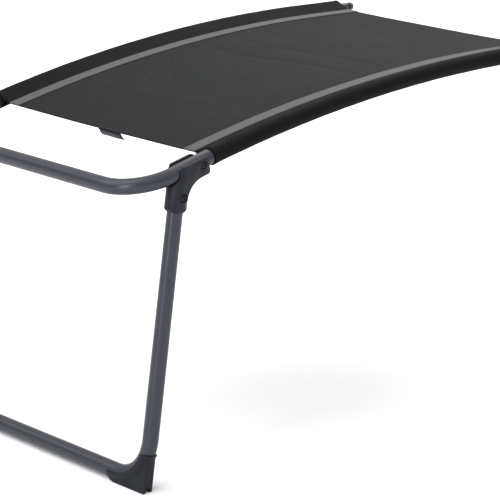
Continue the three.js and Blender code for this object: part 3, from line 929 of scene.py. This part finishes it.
@dataclass
class Sling:
    """The mesh cloth: a panel between two seams, sleeves drawn round the rails, tapes and label."""

    finishes: Finishes
    rail: RailLine
    start: float = 65.5 * MM
    end: float = 778 * MM
    set_back: float = 2 * MM
    thickness: float = 0.8 * MM
    seam_inboard: float = 28.9 * MM
    seam_rise: float = 1.0 * MM
    sag: float = 1.5 * MM
    gap: float = 0.3 * MM
    sleeve_radius: float = 11.75 * MM
    tape_width: float = 22 * MM
    tape_thickness: float = 0.6 * MM
    stitch_inset: float = 2.4 * MM
    columns: int = 64
    rows: int = 150
    # Each packing crease's distance along the rails, its height (below 0 for a valley) and its width.
    creases: tuple[Triple, ...] = (
        (417 * MM, -1.3 * MM, 7 * MM),
        (478 * MM, -1.0 * MM, 7 * MM),
        (200 * MM, 0.4 * MM, 10 * MM),
    )
    label_size: Pair = (47 * MM, 14 * MM)
    label_tilt: float = math.radians(25)
    label_thickness: float = 0.6 * MM
    label_behind: float = 1 * MM
    hem: float = 3 * MM
    stitch_lines: list[list[Vector]] = field(default_factory=list)

    @property
    def panel_half(self) -> float:
        """Half the panel's width."""
        return HALF_SPACING - self.seam_inboard - self.gap

    @property
    def places(self) -> list[float]:
        """Where along the rails the panel and the tapes have a row of points."""
        return evenly(self.start, self.end - self.set_back - self.start, self.rows)

    def height(self, x: float, s: float) -> float:
        """The panel's height over the line of the rails: its sag, soft ripples and packing creases."""
        share = x / self.panel_half
        free = 1 - share**2
        ripple = 0.35 * MM * free * math.sin(17 * s + 3 * share) * math.sin(31 * s - 2.3 * share + 1)
        crease = 0.0
        for place, depth, width in self.creases:
            away = (s - place - 0.01 * math.sin(4 * share)) / width
            crease += depth * free * math.exp(-away * away)
        return self.seam_rise - self.sag * free + ripple + crease

    def on_panel(self, x: float, s: float, lift: float = 0.0) -> Vector:
        """The point of the panel's middle surface at x and s, lifted off it."""
        return self.rail.station(s, x).at(0, self.height(x, s) + lift)

    def build(self) -> list[Object]:
        panel = self.panel()
        sleeves = [self.sleeve(side) for side in Side]
        tapes = [self.tape(side) for side in Side]
        label = self.label()
        stitches = self.stitches()
        return [panel, *sleeves, *tapes, label, stitches]

    def panel(self) -> Object:
        """The cloth between the seams."""
        half = self.panel_half
        xs = evenly(-half, 2 * half, self.columns)
        rows = [[self.on_panel(x, s) for x in xs] for s in self.places]
        piece = link("sling_cloth", sheet_mesh("sling_cloth", rows, xs, self.places), self.finishes.panel)
        thicken(piece, self.thickness)
        return settle(piece, Body.REST, "mesh_fabric", "sling_panel")

    def sleeve_outline(self) -> list[Pair]:
        """The sleeve's section from its seam round the rail and back; x points inboard."""
        reach = self.seam_inboard
        lap = 0.42 * MM
        flat = 2.2 * MM
        leave = math.acos(self.sleeve_radius / reach)
        steps = 34
        outline = [(reach, self.seam_rise + lap), (reach - flat, self.seam_rise + lap)]
        for i in range(steps + 1):
            angle = leave + (2 * math.pi - 2 * leave) * i / steps
            outline.append((self.sleeve_radius * math.cos(angle), self.sleeve_radius * math.sin(angle)))
        outline += [(reach - flat, self.seam_rise - lap), (reach, self.seam_rise - lap)]
        return refined(outline, 2.2 * MM)

    def sleeve(self, side: Side) -> Object:
        """The cloth drawn round one rail, with slight puckers and ends that stand off the tube."""
        outline = self.sleeve_outline()
        us = lengths(outline)
        x0 = side.value * HALF_SPACING
        rows = []
        stations = self.rail.stations(self.start, self.end, self.rows, x0)
        for station in stations:
            s = station.along
            row = []
            for (x, y), u in zip(outline, us):
                far = math.hypot(x, y)
                slack = self.slack(u / us[-1], s)
                row.append(station.at(-side.value * x * (1 + slack / far), y * (1 + slack / far)))
            rows.append(row)
        mesh = sheet_mesh(f"sleeve_{side.suffix}", rows, us, [s.along for s in stations])
        piece = link(f"sleeve_cloth_{side.suffix}", mesh, self.finishes.sleeve)
        if side is Side.RIGHT:
            mesh.flip_normals()
        thicken(piece, self.thickness)
        settle(piece, Body.REST, "sleeve_fabric", f"sling_sleeve_{side.suffix}")
        return piece

    def slack(self, share: float, s: float) -> float:
        """How far the sleeve stands off its tight shape, at a share of its girth and a place along it."""
        loose = math.sin(math.pi * share) ** 2
        pucker = 0.5 + 0.5 * math.sin(95 * s + 5 * share) * math.sin(41 * s + 11 * share + 2)
        from_end = min(s - self.start, self.end - s)
        flare = 0.5 * MM * math.exp(-from_end / (6 * MM))
        return loose * (0.3 * MM * pucker + flare)

    def tape(self, side: Side) -> Object:
        """The grey tape over one seam."""
        outer = self.panel_half
        steps = 8
        xs = evenly(outer, -self.tape_width, steps)
        us = evenly(self.tape_width / 2, -self.tape_width, steps)
        lift = self.thickness / 2 + self.gap + self.tape_thickness / 2
        rows = [[self.on_panel(side.value * x, s, lift) for x in xs] for s in self.places]
        name = f"tape_{side.suffix}"
        piece = link(name, sheet_mesh(name, rows, us, self.places), self.finishes.tape)
        if side is Side.RIGHT:
            piece.data.flip_normals()
        thicken(piece, self.tape_thickness)
        top = lift + self.tape_thickness / 2
        under = -self.thickness / 2
        for inset in (self.stitch_inset, self.tape_width - self.stitch_inset):
            for level in (top, under):
                x = side.value * (outer - inset)
                self.stitch_lines.append([self.on_panel(x, s, level) for s in self.places[1:-1]])
        return settle(piece, Body.REST, "seam_tape", f"seam_tape_{side.suffix}")

    def label(self) -> Object:
        """The small label that hangs back from under the front edge."""
        width, drop = self.label_size
        y, z, _ = self.rail.side_view(self.start)
        z += self.seam_rise - self.sag - self.thickness / 2 - self.gap
        across, down = 16, 8
        rows = []
        for fall in evenly(0, drop, down):
            curl = self.label_tilt + 0.25 * (fall / drop) ** 2
            row = []
            for x in evenly(0, width, across):
                wave = 0.5 * MM * (fall / drop) * math.sin(2.4 * math.pi * x / width)
                back = self.label_behind + fall * math.sin(curl) + wave
                row.append(Vector((x, y + back, z - fall * math.cos(curl))))
            rows.append(row)
        mesh = sheet_mesh("edge_label", rows, evenly(0, width, across), evenly(drop, -drop, down))
        piece = link("edge_label", mesh, self.finishes.label)
        thicken(piece, self.label_thickness)
        return settle(piece, Body.REST, "label_cloth", "sling_label")

    def stitches(self) -> Object:
        """Every stitch of the sling, on top and underneath."""
        width, _ = self.label_size
        hem = [self.on_panel(x, self.start + self.hem, self.thickness / 2) for x in evenly(0, width, 20)]
        piece = line_object("seam_stitches", [*self.stitch_lines, hem], self.finishes.thread)
        recipe = stitch_recipe(self.finishes.thread)
        recipe.apply(piece, Pitch=4.2 * MM, Length=1.5 * MM, Thickness=0.34 * MM)
        return settle(piece, Body.REST, "seam_tape")


def refined(outline: Sequence[Pair], longest: float) -> list[Pair]:
    """An outline with points added so that no step is longer than a length."""
    made = [outline[0]]
    for (x0, y0), (x1, y1) in zip(outline, outline[1:]):
        pieces = max(1, math.ceil(math.hypot(x1 - x0, y1 - y0) / longest))
        made += [(x0 + (x1 - x0) * i / pieces, y0 + (y1 - y0) * i / pieces) for i in range(1, pieces + 1)]
    return made


def lengths(outline: Sequence[Pair]) -> list[float]:
    """The distance along an outline at each of its points."""
    made = [0.0]
    for (x0, y0), (x1, y1) in zip(outline, outline[1:]):
        made.append(made[-1] + math.hypot(x1 - x0, y1 - y0))
    return made


# ---- Leg ----


@dataclass(frozen=True)
class LegLine:
    """The plane and axis of the leg frame."""

    bend_radius: float = 59 * MM
    tilt: float = math.radians(8.8)
    bar_y: float = -421.66 * MM
    bar_z: float = 13.6 * MM
    top: float = 406 * MM

    def turn(self) -> Matrix:
        """Turns the flat frame, x across and y up the leg, into its place."""
        return Matrix.Rotation(math.pi / 2 - self.tilt, 3, "X")

    def point(self, x: float, along: float) -> Vector:
        """A point of the frame's plane."""
        return Vector((x, self.bar_y, self.bar_z)) + self.turn() @ Vector((0, along, 0))


@dataclass
class Leg:
    """The hinged leg: bent tube, bracket halves, feet, bolts, nuts and pivot bushes."""

    finishes: Finishes
    rail: RailLine
    line: LegLine
    nodes: dict[str, Object]
    bend_steps: int = 24
    leg_steps: int = 12
    pivot_along_rail: float = 41.5 * MM
    bolt_along_leg: float = 392 * MM
    bolt_seat: float = 12.9 * MM
    nut_height: float = 4 * MM
    edge: float = 0.9 * MM
    sharp: float = math.radians(38)

    def build(self) -> list[Object]:
        """Builds the leg's pieces."""
        pieces = [self.tube()]
        for side in Side:
            for kind in ("bracket_outer", "bracket_inner", "corner_foot"):
                pieces.append(self.moulding(f"{kind}_{side.suffix}"))
        pieces.append(self.fasteners("bolts", self.bolt_mesh(), 1))
        pieces.append(self.fasteners("nuts", self.nut_mesh(), -1))
        self.dress_bushes()
        return pieces

    def tube(self) -> Object:
        """The bent leg tube."""
        line = self.line
        turn = line.turn()
        path = bent_path(Vector((0, line.bar_y, line.bar_z)), turn, line.bend_radius, self.bend_steps)
        for along in evenly(line.bend_radius, line.top - line.bend_radius, self.leg_steps)[1:]:
            path.append((line.point(HALF_SPACING, along), turn @ Vector((0, 1, 0))))
        up = turn @ Vector((0, 0, 1))
        piece = link("leg_tube", tube_mesh("leg_tube", u_path(path, lambda i: up)), self.finishes.tube)
        return settle(piece, Body.LEG, "tube_metal", "leg_frame_tube")

    def moulding(self, node: str) -> Object:
        """A nylon moulding made from a CAD solid, with rounded edges."""
        mesh = self.nodes[node].data.copy()
        work = bmesh.new()
        work.from_mesh(mesh)
        bmesh.ops.remove_doubles(work, verts=work.verts, dist=0.01 * MM)
        bmesh.ops.dissolve_limit(work, angle_limit=math.radians(0.6), verts=work.verts, edges=work.edges)
        work.to_mesh(mesh)
        work.free()
        piece = link(f"{node}_moulding", mesh, self.finishes.nylon)
        bevel = piece.modifiers.new("edges", "BEVEL")
        bevel.width = self.edge
        bevel.segments = 3
        bevel.limit_method = "ANGLE"
        bevel.angle_limit = self.sharp
        bevel.use_clamp_overlap = True
        bake_modifiers(piece)
        piece.data.shade_smooth()
        piece.data.set_sharp_from_angle(angle=self.sharp)
        return settle(piece, Body.LEG, "nylon", node)

    def places(self) -> list[Vector]:
        """The middles of the pivot bolt and the leg bolt on the right side."""
        y, z, _ = self.rail.side_view(self.pivot_along_rail)
        return [
            Vector((HALF_SPACING, y, z)),
            self.line.point(HALF_SPACING, self.bolt_along_leg),
        ]

    def fasteners(self, name: str, pattern: Mesh, outwards: int) -> Object:
        """Four fasteners of one kind, by geometry nodes.

        Args:
            name: What the piece is called: bolts or nuts.
            pattern: One fastener, its own +Z pointing out of its seat.
            outwards: 1 where it faces away from the rest's middle, -1 where it faces it.

        Returns:
            The piece.
        """
        source = link(f"{name}_pattern", pattern, self.finishes.plated)
        spots = []
        for side in Side:
            for place in self.places():
                centre = Vector((side.value * place.x, place.y, place.z))
                spots.append((centre, Vector((side.value * outwards, 0, 0))))
        piece = point_object(name, spots, self.finishes.plated)
        recipe = fastener_recipe(f"{name}_recipe", source, self.finishes.plated)
        recipe.apply(piece)
        bpy.data.objects.remove(source)
        kind = name.removesuffix("s")
        replaced = [f"{spot}_{kind}_{side.suffix}" for spot in ("pivot", "leg") for side in Side]
        return settle(piece, Body.LEG, "bolt_steel", *replaced)

    def bolt_mesh(self) -> Mesh:
        """A button-head bolt with a hexagonal key recess."""
        seat = self.bolt_seat
        head = 4.8 * MM
        profile = [
            (0.1 * MM, -17.6 * MM),
            (2.6 * MM, -17.6 * MM),
            (3.0 * MM, -17.2 * MM),
            (3.0 * MM, seat),
            (head - 0.2 * MM, seat),
            (head, seat + 0.3 * MM),
            (head, seat + 0.7 * MM),
            (head - 0.5 * MM, seat + 1.4 * MM),
            (head - 1.4 * MM, seat + 1.85 * MM),
            (2.3 * MM, seat + 2.0 * MM),
            (-1.95 * MM, seat + 1.85 * MM),
            (-1.9 * MM, seat + 0.9 * MM),
            (0.1 * MM, seat + 0.7 * MM),
        ]
        return lathe_mesh("bolt", profile, 36, hexagon)

    def nut_mesh(self) -> Mesh:
        """A hexagonal nut with chamfered corners."""
        low = self.bolt_seat
        high = low + self.nut_height
        corner = 5.2 * MM
        profile = [
            (3.1 * MM, low),
            (4.4 * MM, low),
            (-corner, low + 0.4 * MM),
            (-corner, high - 0.5 * MM),
            (4.4 * MM, high),
            (3.5 * MM, high),
            (3.1 * MM, high - 0.4 * MM),
            (3.1 * MM, low),
        ]
        return lathe_mesh("nut", profile, 36, hexagon)

    def dress_bushes(self) -> None:
        """Gives the hidden pivot bushes their plating."""
        for side in Side:
            node = self.nodes[f"pivot_bush_{side.suffix}"]
            node.data.materials.clear()
            node.data.materials.append(self.finishes.plated)
            log.info("%s keeps its shape", node.name)


def hexagon(corner: float, angle: float) -> float:
    """The radius of a hexagon at an angle, from its corner's radius."""
    sector = math.pi / 3
    return corner * math.cos(sector / 2) / math.cos(angle % sector - sector / 2)


# ---- Studio ----


def stand(name: str, data: bpy.types.ID, place: Triple, turn: Sequence[float]) -> Object:
    """Puts a light or a camera in the scene, turned by angles in radians."""
    made = bpy.data.objects.new(name, data)
    made.location = place
    made.rotation_euler = turn
    bpy.context.scene.collection.objects.link(made)
    return made


def radians(angles: Triple) -> Triple:
    """Three angles in degrees as radians."""
    return tuple(math.radians(angle) for angle in angles)


@dataclass(frozen=True)
class Lamp:
    """A soft rectangular light aimed at a point."""

    name: str
    place: Triple
    aim: Triple
    size: Pair
    power: float
    tint: Colour = (1.0, 1.0, 1.0)

    def hang(self) -> None:
        """Puts the light in the scene."""
        data = bpy.data.lights.new(self.name, "AREA")
        data.shape = "RECTANGLE"
        data.size, data.size_y = self.size
        data.energy = self.power
        data.color = self.tint
        way = Vector(self.aim) - Vector(self.place)
        stand(self.name, data, self.place, way.to_track_quat("-Z", "Y").to_euler())


@dataclass(frozen=True)
class Studio:
    """Floor, soft lights, white surroundings and the camera."""

    finishes: Finishes
    camera_place: Triple = (2.4669, -2.3775, 1.2264)
    camera_turn: Triple = (73.38, 0.0, 46.17)
    lens: float = 170.9
    zenith: float = 1.6
    horizon: float = 0.3
    rim_height: float = 0.06
    sun_strength: float = 1.15
    sun_turn: Triple = (28.0, -24.0, 0.0)
    sun_spread: float = 50.0
    lamps: tuple[Lamp, ...] = (
        Lamp("overhead", (-0.8, 1.6, 2.1), (0, 0, 0.35), (1.6, 1.6), 28.0),
        Lamp("front_left", (0.7, -3.0, 1.1), (0, -0.3, 0.3), (0.5, 1.8), 26.0, (0.86, 0.91, 1.0)),
    )

    def build(self) -> None:
        """Sets up the studio."""
        scene = bpy.context.scene
        scene.view_settings.view_transform = "Standard"
        self.floor()
        self.sky()
        self.sun()
        for lamp in self.lamps:
            lamp.hang()
        data = bpy.data.cameras.new("camera")
        data.sensor_width = 36.0
        data.lens = self.lens
        data.clip_end = 200.0
        scene.camera = stand("camera", data, self.camera_place, radians(self.camera_turn))

    def sky(self) -> None:
        """Surroundings that are bright overhead, dim lower down and white in a low rim."""
        world = bpy.data.worlds.new("surroundings")
        world.use_nodes = True
        sky = Nodes(world.node_tree)
        place = sky.node("ShaderNodeTexCoord", {}).outputs["Generated"]
        height = sky.node("ShaderNodeSeparateXYZ", {0: place}).outputs["Z"]
        levels = {"Value": height, "To Min": self.horizon, "To Max": self.zenith}
        dome = sky.node("ShaderNodeMapRange", levels).outputs[0]
        fade = {
            "Value": height,
            "From Min": self.rim_height,
            "From Max": 2 * self.rim_height,
            "To Min": 1.0,
            "To Max": 0.0,
        }
        rim = sky.node("ShaderNodeMapRange", fade).outputs[0]
        back = sky.tree.nodes["Background"].inputs
        sky.feed(back["Strength"], sky.maths("MAXIMUM", dome, rim))
        sky.feed(back["Color"], (1.0, 1.0, 1.0))
        bpy.context.scene.world = world

    def sun(self) -> None:
        """A broad even light from above, the same over the whole floor."""
        data = bpy.data.lights.new("ceiling", "SUN")
        data.energy = self.sun_strength
        data.angle = math.radians(self.sun_spread)
        stand("ceiling", data, (0, 0, 0), radians(self.sun_turn))

    def floor(self) -> None:
        """The plain pale floor."""
        reach = 30.0
        mesh = bpy.data.meshes.new("floor")
        corners = [(-reach, -reach, 0), (reach, -reach, 0), (reach, reach, 0), (-reach, reach, 0)]
        mesh.from_pydata(corners, [], [(0, 1, 2, 3)])
        link("floor", mesh, self.finishes.floor)


def main() -> None:
    """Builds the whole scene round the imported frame."""
    logging.basicConfig(level=logging.INFO, format="%(message)s")
    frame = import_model()
    finishes = Finishes()
    rail = RailLine()
    Studio(finishes).build()
    pieces = UpperFrame(finishes, rail).build()
    pieces += Sling(finishes, rail).build()
    pieces += Leg(finishes, rail, LegLine(), frame["nodes"]).build()
    log.info("%d pieces made", len(pieces))


if __name__ == "__main__":
    main()
